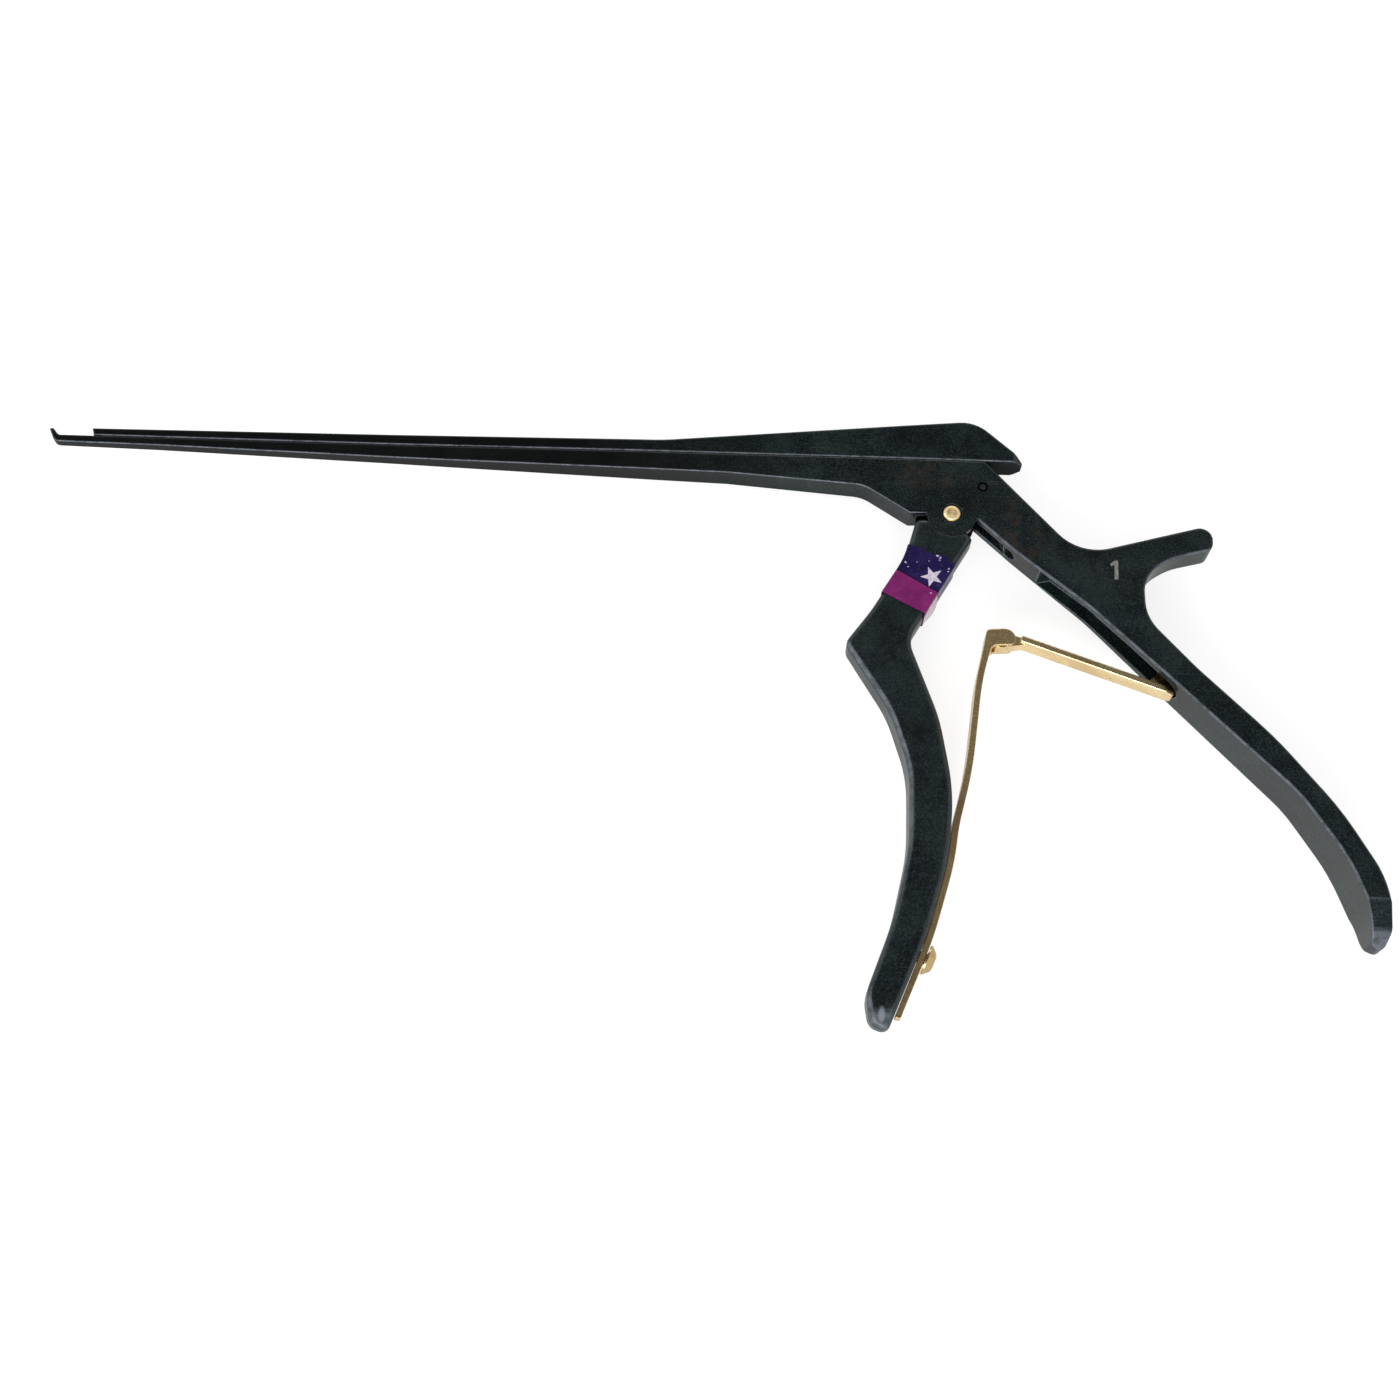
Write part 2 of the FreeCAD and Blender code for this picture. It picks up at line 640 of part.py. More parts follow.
def stretch(path):
    """The handle's outline carried past the upper and the lower edge of the tape."""
    a, b, c, d = path[0], path[-3], path[-2], path[-1]
    up_l = (a[0] + (a[0] - path[1][0]) * 0.2, a[1] + (a[1] - path[1][1]) * 0.2)
    down_l = (b[0] + (b[0] - path[-4][0]) * 0.2, b[1] + (b[1] - path[-4][1]) * 0.2)
    down_r = (c[0] + (c[0] - d[0]) * 0.2, c[1] + (c[1] - d[1]) * 0.2)
    up_r = (d[0] + (d[0] - c[0]) * 0.2, d[1] + (d[1] - c[1]) * 0.2)
    return [up_l] + path[1:-3] + [down_l, down_r, up_r]


def make_all(doc):
    parts = [make_frame(doc), make_slide(doc), make_front_handle(doc)]
    parts.append(make_pivot_screw(doc))
    parts.append(make_leaf(doc))
    parts.append(make_leaf_screw(doc))
    parts.append(make_strut(doc))
    for name, place, sizes in (("stop_pin", STOP_PIN, "stop_pin"),
                               ("strut_hinge_pin", STRUT_PIN, "strut_pin"),
                               ("spring_link_pin", LINK_PIN, "link_pin")):
        parts.append(make_pin(doc, name, place, cell(sizes + "_radius"), sizes + "_length"))
    parts.append(make_tape(doc, "indigo_tape", -7.8, -12.3, -13.6, -18.7))
    parts.append(make_tape(doc, "magenta_tape", -13.8, -18.9, -19.0, -23.7))
    return parts


def write_parts(doc, parts):
    doc.recompute()
    for item in doc.Objects:
        state = " ".join(item.State)
        if "Invalid" in state or "Error" in state:
            raise ValueError(item.Name + " " + state)
    for part in parts:
        shape = part.Shape
        if shape.isNull() or not shape.isValid() or len(shape.Solids) != 1:
            raise ValueError("%s solids %d" % (part.Label, len(shape.Solids)))
        shape.exportStep("parts/%s.step" % part.Label)
        box = shape.BoundBox
        print("%-22s x %8.2f %8.2f  y %8.2f %8.2f  z %6.2f %6.2f  volume %9.1f" % (
            part.Label, box.XMin, box.XMax, box.YMin, box.YMax, box.ZMin, box.ZMax, shape.Volume))


os.makedirs("parts", exist_ok=True)
document = FreeCAD.newDocument("bone_punch")
make_sizes(document)
write_parts(document, make_all(document))
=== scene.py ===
import json
import math

import bmesh
import bpy
from mathutils import Matrix, Vector


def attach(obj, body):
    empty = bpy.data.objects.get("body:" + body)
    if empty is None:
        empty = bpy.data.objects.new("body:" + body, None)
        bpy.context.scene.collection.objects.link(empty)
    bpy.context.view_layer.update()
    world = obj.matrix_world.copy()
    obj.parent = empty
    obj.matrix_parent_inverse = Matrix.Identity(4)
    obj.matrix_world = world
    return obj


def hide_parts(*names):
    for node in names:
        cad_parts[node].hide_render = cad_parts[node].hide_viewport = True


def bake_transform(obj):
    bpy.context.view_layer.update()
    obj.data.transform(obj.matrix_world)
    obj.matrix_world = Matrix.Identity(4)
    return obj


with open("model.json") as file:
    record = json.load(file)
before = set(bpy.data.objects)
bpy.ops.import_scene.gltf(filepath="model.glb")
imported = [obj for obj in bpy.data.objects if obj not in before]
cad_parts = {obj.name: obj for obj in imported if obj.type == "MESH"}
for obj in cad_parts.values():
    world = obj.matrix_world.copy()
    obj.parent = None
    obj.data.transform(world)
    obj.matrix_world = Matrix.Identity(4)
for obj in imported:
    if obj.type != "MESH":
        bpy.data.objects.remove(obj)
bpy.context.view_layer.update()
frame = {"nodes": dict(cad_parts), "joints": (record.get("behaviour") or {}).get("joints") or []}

# Every place on the instrument is given in millimetres from the handle pivot,
# half way through the thickness, as in the drawing of its side.
MM = 0.001
PIVOT = Vector(next(j["pos_m"] for j in frame["joints"] if j["name"] == "handle_pivot"))


def spot(x, y, z=0.0):
    """A point in the frame from millimetres about the pivot."""
    return PIVOT + Vector((x, y, z)) * MM


# Nodes

# places of the sockets on a Mix node: the two numbers, the two colours and the mixed colour
MIX_NUMBERS = (2, 3)
MIX_COLOURS = (6, 7)
MIXED_COLOUR = 2


class NodeSet:
    """The nodes of a material or of the world, and the links between them."""

    def __init__(self, owner):
        owner.use_nodes = True
        self.nodes = owner.node_tree.nodes
        self.links = owner.node_tree.links

    def maths(self, kind, a, b=None):
        node = self.nodes.new("ShaderNodeMath")
        node.operation = kind
        for i, value in enumerate((a, b)):
            if value is None:
                continue
            if isinstance(value, (int, float)):
                node.inputs[i].default_value = value
            else:
                self.links.new(value, node.inputs[i])
        return node.outputs[0]

    def spread(self, value, low, high, to_low=0.0, to_high=1.0, smooth=True):
        """Carries low..high to another range, clamped."""
        node = self.nodes.new("ShaderNodeMapRange")
        node.interpolation_type = "SMOOTHSTEP" if smooth else "LINEAR"
        self.links.new(value, node.inputs["Value"])
        node.inputs["From Min"].default_value = low
        node.inputs["From Max"].default_value = high
        node.inputs["To Min"].default_value = to_low
        node.inputs["To Max"].default_value = to_high
        return node.outputs["Result"]

    def axes(self, vector):
        """The X, Y and Z outputs of a vector."""
        node = self.nodes.new("ShaderNodeSeparateXYZ")
        self.links.new(vector, node.inputs[0])
        return node.outputs

    def blend(self, share, first, second, output):
        """Mixes two shaders into the output node."""
        mix = self.nodes.new("ShaderNodeMixShader")
        self.links.new(share, mix.inputs[0])
        self.links.new(first, mix.inputs[1])
        self.links.new(second, mix.inputs[2])
        self.links.new(mix.outputs[0], self.nodes.new(output).inputs["Surface"])


# Camera, light and floor

def place_camera():
    """Looks down on the instrument's side, from its handle end, slightly rolled."""
    azimuth, elevation, roll = math.radians(3.0), math.radians(68.0), math.radians(2.5565)
    distance = 0.4
    target = spot(-51.693, -43.554)
    back = Vector((math.sin(azimuth) * math.cos(elevation),
                   -math.cos(azimuth) * math.cos(elevation), math.sin(elevation)))
    right = (-back).cross(Vector((0, 1, 0))).normalized()
    up = right.cross(-back)
    x_axis = right * math.cos(roll) + up * math.sin(roll)
    y_axis = up * math.cos(roll) - right * math.sin(roll)
    data = bpy.data.cameras.new("photo_camera")
    data.lens = 50
    data.sensor_width = 36
    data.clip_start = 0.01
    camera = bpy.data.objects.new("photo_camera", data)
    bpy.context.scene.collection.objects.link(camera)
    turn = Matrix((x_axis, y_axis, back)).transposed().to_4x4()
    camera.matrix_world = Matrix.Translation(target + back * distance) @ turn
    bpy.context.scene.camera = camera


def add_softbox(name, place, aim, width, height, power):
    data = bpy.data.lights.new(name, "AREA")
    data.shape = "RECTANGLE"
    data.size = width
    data.size_y = height
    data.energy = power
    lamp = bpy.data.objects.new(name, data)
    bpy.context.scene.collection.objects.link(lamp)
    lamp.location = place
    lamp.rotation_euler = (aim - place).to_track_quat("-Z", "Y").to_euler()


def light_the_table():
    centre = spot(-30, -30)
    add_softbox("near_softbox", Vector((-0.15, -0.80, 0.42)), centre, 0.9, 0.36, 7.0)
    add_softbox("left_softbox", Vector((-0.80, 0.05, 0.45)), centre, 0.4, 0.4, 1.6)
    add_softbox("far_softbox", Vector((0.15, 0.85, 0.35)), centre, 0.6, 0.3, 1.2)


def fill_world():
    """Room that is white round the table and dim overhead, where only the ceiling is."""
    world = bpy.data.worlds.new("room")
    work = NodeSet(world)
    work.nodes.clear()
    path = work.nodes.new("ShaderNodeLightPath")
    seen = work.maths("MAXIMUM", path.outputs["Is Camera Ray"], path.outputs["Is Transmission Ray"])
    shown = work.maths("MAXIMUM", seen, path.outputs["Is Glossy Ray"])
    way = work.nodes.new("ShaderNodeTexCoord").outputs["Generated"]
    horizon, overhead, ceiling_light = 0.42, 0.80, 0.14
    ceiling = work.spread(work.axes(way)["Z"], horizon, overhead, 1.0, ceiling_light)
    room = work.nodes.new("ShaderNodeBackground")
    room.inputs["Strength"].default_value = 0.50
    white = work.nodes.new("ShaderNodeBackground")
    work.links.new(ceiling, white.inputs["Strength"])
    for lit in (room, white):
        lit.inputs["Color"].default_value = (1, 1, 1, 1)
    work.blend(shown, room.outputs[0], white.outputs[0], "ShaderNodeOutputWorld")
    bpy.context.scene.world = world


def table_finish():
    """Pale table top. What it adds for the camera lifts it to white but keeps the shadow; in
    reflections it glows far less under the shaft, a painted shadow.
    """
    material = bpy.data.materials.new("pale_table")
    work = NodeSet(material)
    work.nodes.clear()
    path = work.nodes.new("ShaderNodeLightPath")
    seen = work.maths("MAXIMUM", path.outputs["Is Camera Ray"], path.outputs["Is Glossy Ray"])
    matt = work.nodes.new("ShaderNodeBsdfDiffuse")
    matt.inputs["Color"].default_value = (0.84, 0.84, 0.84, 1)
    faint = work.nodes.new("ShaderNodeBsdfDiffuse")
    faint.inputs["Color"].default_value = (0.42, 0.42, 0.42, 1)
    place = work.axes(work.nodes.new("ShaderNodeTexCoord").outputs["Object"])
    open_table, painted_shadow_under_shaft, to_camera = 0.50, 0.08, 0.78
    # painted shadow: the glow seen in reflections drops from the open table to under the shaft
    glossy_glow_with_painted_shadow = work.spread(place["Y"], spot(0, -4).y, spot(0, 5).y, open_table, painted_shadow_under_shaft, False)
    glow = work.nodes.new("ShaderNodeMix")
    work.links.new(path.outputs["Is Camera Ray"], glow.inputs[0])
    work.links.new(glossy_glow_with_painted_shadow, glow.inputs[MIX_NUMBERS[0]])
    glow.inputs[MIX_NUMBERS[1]].default_value = to_camera
    lift = work.nodes.new("ShaderNodeEmission")
    work.links.new(glow.outputs[0], lift.inputs["Strength"])
    lifted = work.nodes.new("ShaderNodeAddShader")
    work.links.new(faint.outputs[0], lifted.inputs[0])
    work.links.new(lift.outputs[0], lifted.inputs[1])
    work.blend(seen, matt.outputs[0], lifted.outputs[0], "ShaderNodeOutputMaterial")
    return material


def lay_floor():
    mesh = bpy.data.meshes.new("table_top")
    reach = 4.0
    corners = [(-reach, -reach, 0), (reach, -reach, 0), (reach, reach, 0), (-reach, reach, 0)]
    mesh.from_pydata(corners, [], [(0, 1, 2, 3)])
    mesh.materials.append(table_finish())
    table = bpy.data.objects.new("table_top", mesh)
    bpy.context.scene.collection.objects.link(table)


# Finishes

class Finish(NodeSet):
    """A material in the making: a principled shader with nodes that read Object coordinates."""

    def __init__(self, name, metallic=0.0, specular=0.5):
        self.material = bpy.data.materials.new(name)
        super().__init__(self.material)
        self.shader = self.nodes["Principled BSDF"]
        self.shader.inputs["Metallic"].default_value = metallic
        self.shader.inputs["Specular IOR Level"].default_value = specular
        self.place = self.nodes.new("ShaderNodeTexCoord").outputs["Object"]

    def set(self, socket, value):
        self.links.new(value, self.shader.inputs[socket])

    def measure(self, kind, first, second=None):
        """A number from one or two vectors, such as a length or a dot product."""
        node = self.nodes.new("ShaderNodeVectorMath")
        node.operation = kind
        self.links.new(first, node.inputs[0])
        if isinstance(second, tuple):
            node.inputs[1].default_value = second
        elif second is not None:
            self.links.new(second, node.inputs[1])
        return node.outputs["Value"]

    def stretched(self, scale, turn=0.0, centre=(0, 0, 0)):
        """Object coordinates moved to a centre, turned about Z and scaled."""
        shift = self.nodes.new("ShaderNodeVectorMath")
        shift.operation = "SUBTRACT"
        self.links.new(self.place, shift.inputs[0])
        shift.inputs[1].default_value = centre
        node = self.nodes.new("ShaderNodeMapping")
        node.vector_type = "POINT"
        self.links.new(shift.outputs[0], node.inputs["Vector"])
        node.inputs["Rotation"].default_value = (0, 0, turn)
        node.inputs["Scale"].default_value = scale
        return node.outputs["Vector"]

    def noise(self, scale, detail=4.0, rough=0.55, vector=None, distortion=0.0):
        node = self.nodes.new("ShaderNodeTexNoise")
        self.links.new(vector or self.place, node.inputs["Vector"])
        node.inputs["Scale"].default_value = scale
        node.inputs["Detail"].default_value = detail
        node.inputs["Roughness"].default_value = rough
        node.inputs["Distortion"].default_value = distortion
        return node.outputs["Fac"]

    def mix(self, share, first, second):
        """Mixes two colours; each is a colour or a socket."""
        node = self.nodes.new("ShaderNodeMix")
        node.data_type = "RGBA"
        self.links.new(share, node.inputs[0])
        for i, value in zip(MIX_COLOURS, (first, second)):
            if isinstance(value, tuple):
                node.inputs[i].default_value = value + (1.0,)
            else:
                self.links.new(value, node.inputs[i])
        return node.outputs[MIXED_COLOUR]

    def lay(self, colour, mask, share, over):
        """Lays a colour over another where the mask is, at most to the given share."""
        return self.mix(self.maths("MULTIPLY", mask, share), colour, over)

    def bump(self, height, distance, strength=1.0, below=None):
        node = self.nodes.new("ShaderNodeBump")
        node.inputs["Strength"].default_value = strength
        node.inputs["Distance"].default_value = distance
        self.links.new(height, node.inputs["Height"])
        if below is not None:
            self.links.new(below, node.inputs["Normal"])
        return node.outputs["Normal"]

    def patch(self, centre, radius, squash=(1.0, 1.0), turn=0.0):
        """1 in the middle of a soft spot on the side of the instrument, 0 outside."""
        place = self.stretched((squash[0] / radius, squash[1] / radius, 0.0), turn, centre)
        return self.spread(self.measure("LENGTH", place), 0.35, 1.0, 1.0, 0.0)

    def ring(self, centre, inner, outer):
        """1 on a round band about an upright axis, 0 inside and outside it."""
        away = self.measure("LENGTH", self.stretched((1 / outer, 1 / outer, 0.0), 0.0, centre))
        start = self.spread(away, inner / outer - 0.06, inner / outer + 0.02)
        stop = self.spread(away, 0.95, 1.05, 1.0, 0.0)
        return self.maths("MULTIPLY", start, stop)

    def scratches(self, turn, seed, low, high):
        """Fine straight scratches along one direction, broken up by a coarser cloud."""
        line = self.noise(55, 3.0, 0.55, self.stretched((1.0, 55.0, 1.0), turn, (seed, -seed, 0)))
        coarse = self.noise(90, 2.0, 0.5, self.stretched((1, 1, 1), 0, (0, seed, 0)))
        cloud = self.spread(coarse, 0.48, 0.62)
        return self.maths("MULTIPLY", self.spread(line, low, high), cloud)

    def edge_round(self, radius):
        """The normal with the edges eased to a radius, how near a sharp or sloping edge a point
        is, and how far the eased edge faces the lit lower left side, which sets where the edges get
        a painted highlight, and where the gold's edges get painted shade."""
        bevel = self.nodes.new("ShaderNodeBevel")
        bevel.samples = 6
        bevel.inputs["Radius"].default_value = radius
        eased = bevel.outputs[0]
        true = self.nodes.new("ShaderNodeNewGeometry").outputs["True Normal"]
        sharp = self.spread(self.measure("DOT_PRODUCT", eased, true), 0.86, 0.992, 1.0, 0.0)
        upright = self.maths("ABSOLUTE", self.axes(true)["Z"])
        sloping = self.maths("MULTIPLY", self.spread(upright, 0.25, 0.50, 0.0, 0.45),
                             self.spread(upright, 0.86, 0.96, 1.0, 0.0))
        facing = self.measure("DOT_PRODUCT", eased, LIT_FINGER_SIDE)
        side = self.spread(facing, 0.05, 0.50, 0.15, 1.0)
        return eased, self.maths("MAXIMUM", sharp, sloping), side


# the direction of the lower left edges that face the near light; they get wear and a painted
# highlight
LIT_FINGER_SIDE = (-0.45, -0.89, 0.0)

# inner and outer radius in metres: the pivot cheek's whole face, and the gap round the cheek
CHEEK_FACE = (-0.001, 0.0058)
CHEEK_GAP = (0.00528, 0.00562)

# colours of the black coating
COATING_DEEP = (0.0030, 0.0064, 0.0070)
COATING_PALE = (0.0092, 0.0170, 0.0172)
FLECK = (0.036, 0.050, 0.051)
PIT = (0.0004, 0.0010, 0.0012)
SCRATCH = (0.040, 0.050, 0.052)
SCUFF = (0.0018, 0.0028, 0.0030)
SMEAR = (0.0020, 0.0030, 0.0034)
BROWN_STAIN = (0.046, 0.030, 0.018)
# colour of a painted highlight spot
PAINTED_HIGHLIGHT_SPOT = (0.170, 0.190, 0.215)
# painted shade on the slim shaft
SHAFT_PAINTED_SHADE = (0.0006, 0.0009, 0.0011)
# pale edge colour: wear and a painted highlight
WORN_EDGE_AND_HIGHLIGHT = (0.250, 0.285, 0.340)
SHADOW_LINE = (0.0002, 0.0003, 0.0003)

# marks on the black coating: kind, middle in millimetres about the pivot, size, squash and turn
BODY_MARKS = [
    ("smear", (36.5, -14.5, 4.0), 6.5, (2.4, 0.7), 0.7),
    ("smear", (30.0, -9.0, 4.0), 5.5, (2.6, 0.8), 0.65),
    ("smear", (24.0, -6.5, 3.4), 6.0, (2.0, 0.8), 0.7),
    ("smear", (2.0, 3.0, 3.2), 5.0, (1.5, 0.9), 0.4),
    ("stain", (14.5, -4.0, 3.4), 8.5, (1.3, 0.8), 0.75),
    ("stain", (-5.0, 8.8, 3.2), 7.0, (0.6, 1.6), 0.0),
]
SLIDE_MARKS = [
    ("smear", (-8.0, 17.5, 3.2), 7.0, (0.8, 1.4), 0.2),
    ("smear", (6.0, 16.0, 3.2), 6.0, (1.0, 1.0), 0.0),
]
HANDLE_MARKS = [
    ("smear", (-14.0, -33.0, 4.0), 5.0, (1.2, 0.8), 0.3),
    ("smear", (-7.0, -52.0, 4.4), 4.5, (1.0, 1.0), 0.0),
    ("smear", (-6.5, -62.0, 4.6), 4.0, (1.4, 0.8), 0.5),
    # painted highlight on the rounded end of the front handle
    ("rubbed_and_highlight", (-14.2, -108.3, 3.0), 1.35, (1.5, 0.7), 0.4),
]


def mottled_coating(finish, cloud, grain, rubbed_and_highlight, scuffed):
    """Colour of the coating with its grain, scratches and scuffs."""
    colour = finish.mix(finish.spread(cloud, 0.36, 0.66), COATING_DEEP, COATING_PALE)
    colour = finish.lay(colour, finish.spread(grain, 0.48, 0.64), 0.55, FLECK)
    colour = finish.lay(colour, finish.spread(grain, 0.36, 0.44, 1.0, 0.0), 0.80, PIT)
    colour = finish.lay(colour, rubbed_and_highlight, 0.40, SCRATCH)
    return finish.lay(colour, scuffed, 0.75, SCUFF)


def marked_coating(finish, shifted, colour, marks):
    """Adds the ragged smears and stains and the smooth painted highlight spots."""
    ragged = finish.spread(finish.noise(300, 5.0, 0.72, shifted, 0.6), 0.44, 0.62)
    looks = {"smear": (0.75, SMEAR), "stain": (0.50, BROWN_STAIN), "rubbed_and_highlight": (0.85, PAINTED_HIGHLIGHT_SPOT)}
    for kind, centre, radius, squash, turn in marks:
        share, over = looks[kind]
        veil = finish.patch(spot(*centre), radius * MM, squash, turn)
        if kind != "rubbed_and_highlight":
            veil = finish.maths("MULTIPLY", veil, ragged)
        colour = finish.lay(colour, veil, share, over)
    return colour


def worn_and_highlit_edges(finish, shifted, edge, side):
    """How far the coating has gone from the edges, with a painted highlight on the edges that face
    the light; less so round the pivot's cheeks.
    """
    chipped = finish.spread(finish.noise(420, 4.0, 0.7, shifted), 0.34, 0.60, 0.35, 1.0)
    worn_and_highlit = finish.maths("MULTIPLY", finish.maths("MULTIPLY", edge, chipped), side)
    cheeks = finish.maths("MULTIPLY", finish.ring(PIVOT, *CHEEK_FACE), 0.75)
    return finish.maths("MULTIPLY", worn_and_highlit, finish.maths("SUBTRACT", 1.0, cheeks))


def cheek_shadow(finish):
    """The gap between the pivot's cheeks and the shoulder of the front handle."""
    height = finish.axes(finish.place)["Y"]
    below_pivot = finish.spread(height, spot(0, -1).y, spot(0, 1).y, 0.92, 0.0)
    return finish.maths("MULTIPLY", finish.ring(PIVOT, *CHEEK_GAP), below_pivot)


def black_coating(name, seed, marks, slim=None, specular=0.33):
    """Dark greenish ceramic-like coating on steel, pale along its edges from wear and from a
    painted highlight on the edges that face the light.
    Where it has a slim shaft, that grows blacker between two places along it as a painted shade."""
    finish = Finish(name, specular=specular)
    shifted = finish.stretched((1, 1, 1), 0.0, (seed, -seed, 0.5 * seed))
    cloud = finish.noise(120, 5.0, 0.62, shifted, 0.5)
    grain = finish.noise(2600, 4.0, 0.7, shifted)
    # the rubbed scratches
    rubbed_and_highlight = finish.maths("MAXIMUM", finish.scratches(0.75, seed, 0.60, 0.70),
                          finish.scratches(-0.35, seed + 2.0, 0.62, 0.72))
    scuffed = finish.spread(finish.noise(430, 4.0, 0.72, shifted, 0.9), 0.58, 0.68)
    colour = mottled_coating(finish, cloud, grain, rubbed_and_highlight, scuffed)
    colour = marked_coating(finish, shifted, colour, marks)
    eased, edge, side = finish.edge_round(0.00045)
    # painted shade: the slim shaft grows blacker towards the jaw
    if slim:
        along = finish.axes(finish.place)["X"]
        painted_shade_near_jaw = finish.spread(along, spot(slim[0], 0).x, spot(slim[1], 0).x, 0.93, 0.0)
        colour = finish.mix(painted_shade_near_jaw, colour, SHAFT_PAINTED_SHADE)
    # wear and a painted highlight along the edges, strongest on the edges that face the light
    colour = finish.lay(colour, worn_and_highlit_edges(finish, shifted, edge, side), 0.92, WORN_EDGE_AND_HIGHLIGHT)
    finish.set("Base Color", finish.mix(cheek_shadow(finish), colour, SHADOW_LINE))
    smoothest = 0.20 if slim else 0.27
    rough = finish.spread(cloud, 0.3, 0.7, smoothest, smoothest + 0.10)
    finish.set("Roughness", finish.maths("ADD", rough, finish.maths("MULTIPLY", rubbed_and_highlight, 0.08)))
    fine = finish.bump(grain, 0.00003, 0.30, eased)
    finish.set("Normal", finish.bump(scuffed, 0.00003, 0.5, fine))
    return finish.material


# colours of the gold coating
GOLD_SPECK = (0.20, 0.11, 0.045)
# brown edge colour: browning and painted shade
BROWNED_AND_SHADED_EDGE = (0.42, 0.26, 0.10)
RING_SHADOW = (0.30, 0.17, 0.06)


def gold_coating(name, seed, roughness, light, stained, rings=(), metallic=1.0):
    """Gold-coloured hard coating with a brushed grain, brown stains, rings of painted shade, and
    brown edges that are partly painted shade on the edges turned away from the light.
    """
    finish = Finish(name, metallic=metallic)
    shifted = finish.stretched((1, 1, 1), 0.0, (seed, seed, 0))
    cloud = finish.noise(75, 3.0, 0.55, shifted, 0.5)
    grain = finish.noise(1500, 3.0, 0.6, shifted)
    colour = finish.mix(finish.spread(cloud, 0.44, 0.66), light, stained)
    speck = finish.spread(finish.noise(620, 3.0, 0.65, shifted), 0.66, 0.74)
    colour = finish.lay(colour, speck, 0.65, GOLD_SPECK)
    eased, edge, side = finish.edge_round(0.00026)
    # brown on the edges turned away from the light: browning and painted shade
    browned_and_shaded = finish.maths("MULTIPLY", edge, finish.maths("SUBTRACT", 1.0, side))
    colour = finish.lay(colour, browned_and_shaded, 0.25, BROWNED_AND_SHADED_EDGE)
    # rings of painted shade about the given centres
    for centre, inner, outer in rings:
        colour = finish.lay(colour, finish.ring(centre, inner, outer), 0.8, RING_SHADOW)
    finish.set("Base Color", colour)
    finish.set("Roughness", finish.spread(grain, 0.3, 0.7, roughness - 0.05, roughness + 0.07))
    finish.set("Normal", finish.bump(grain, 0.00001, 0.25, eased))
    return finish.material


def marking_tape(name, colour, deep, seed):
    """Glossy plastic marking tape, a little creased and scuffed."""
    scuffed_plastic = (0.30, 0.20, 0.34)
    finish = Finish(name, specular=0.42)
    shifted = finish.stretched((1, 1, 1), 0.0, (seed, 0, seed))
    cloud = finish.noise(300, 4.0, 0.6, shifted, 0.6)
    scuff = finish.spread(finish.noise(1100, 4.0, 0.7, shifted), 0.60, 0.75)
    tone = finish.mix(finish.spread(cloud, 0.35, 0.68), deep, colour)
    finish.set("Base Color", finish.lay(tone, scuff, 0.35, scuffed_plastic))
    finish.set("Roughness", finish.spread(cloud, 0.3, 0.7, 0.26, 0.40))
    finish.set("Normal", finish.bump(cloud, 0.00012, 0.5))
    return finish.material


def clouded(name, first, second, texture, fade, roughness, relief, specular=0.5, metallic=0.0):
    """Two colours that blend in a fine cloud. The texture is its scale, detail and roughness,
    fade is the part of the cloud over which the colours change, or None for all of it, and
    relief is the height of the surface's unevenness and its strength."""
    finish = Finish(name, metallic, specular)
    cloud = finish.noise(*texture)
    share = finish.spread(cloud, *fade) if fade else cloud
    finish.set("Base Color", finish.mix(share, first, second))
    finish.set("Roughness", finish.spread(cloud, 0.3, 0.7, *roughness))
    finish.set("Normal", finish.bump(cloud, *relief))
    return finish.material


def pin_steel():
    return clouded("dark_pin_steel", (0.014, 0.015, 0.014), (0.050, 0.052, 0.048),
                   (2200, 3.0, 0.6), None, (0.35, 0.5), (0.00002, 0.3), metallic=0.6)


def white_print():
    """Matt white ink, slightly thin in places."""
    return clouded("white_tape_print", (0.74, 0.68, 0.74), (0.52, 0.44, 0.60),
                   (900, 4.0, 0.65), (0.40, 0.66), (0.42, 0.58), (0.00002, 0.3), specular=0.3)


def pale_filling():
    """Pale grey filling of the size numeral, darker in a fine cloud."""
    return clouded("pale_numeral_filling", (0.26, 0.26, 0.24), (0.13, 0.13, 0.12),
                   (1300, 4.0, 0.7), (0.42, 0.66), (0.45, 0.62), (0.00003, 0.4), specular=0.3)


def dark_seam():
    """Shadowed seam round a flush pin."""
    return clouded("dark_seam", (0.0002, 0.0002, 0.0003), (0.0010, 0.0011, 0.0012),
                   (1900, 3.0, 0.6), None, (0.7, 0.9), (0.00002, 0.3), specular=0.03)


def clear_backing():
    """Clear backing of the tape, milky where it has lifted."""
    return clouded("clear_tape_backing", (0.62, 0.50, 0.60), (0.85, 0.78, 0.84),
                   (700, 3.0, 0.6), None, (0.18, 0.34), (0.00005, 0.4))


def dress(node, material):
    """Gives a CAD node's faces the finish."""
    mesh = frame["nodes"][node].data
    mesh.materials.clear()
    mesh.materials.append(material)


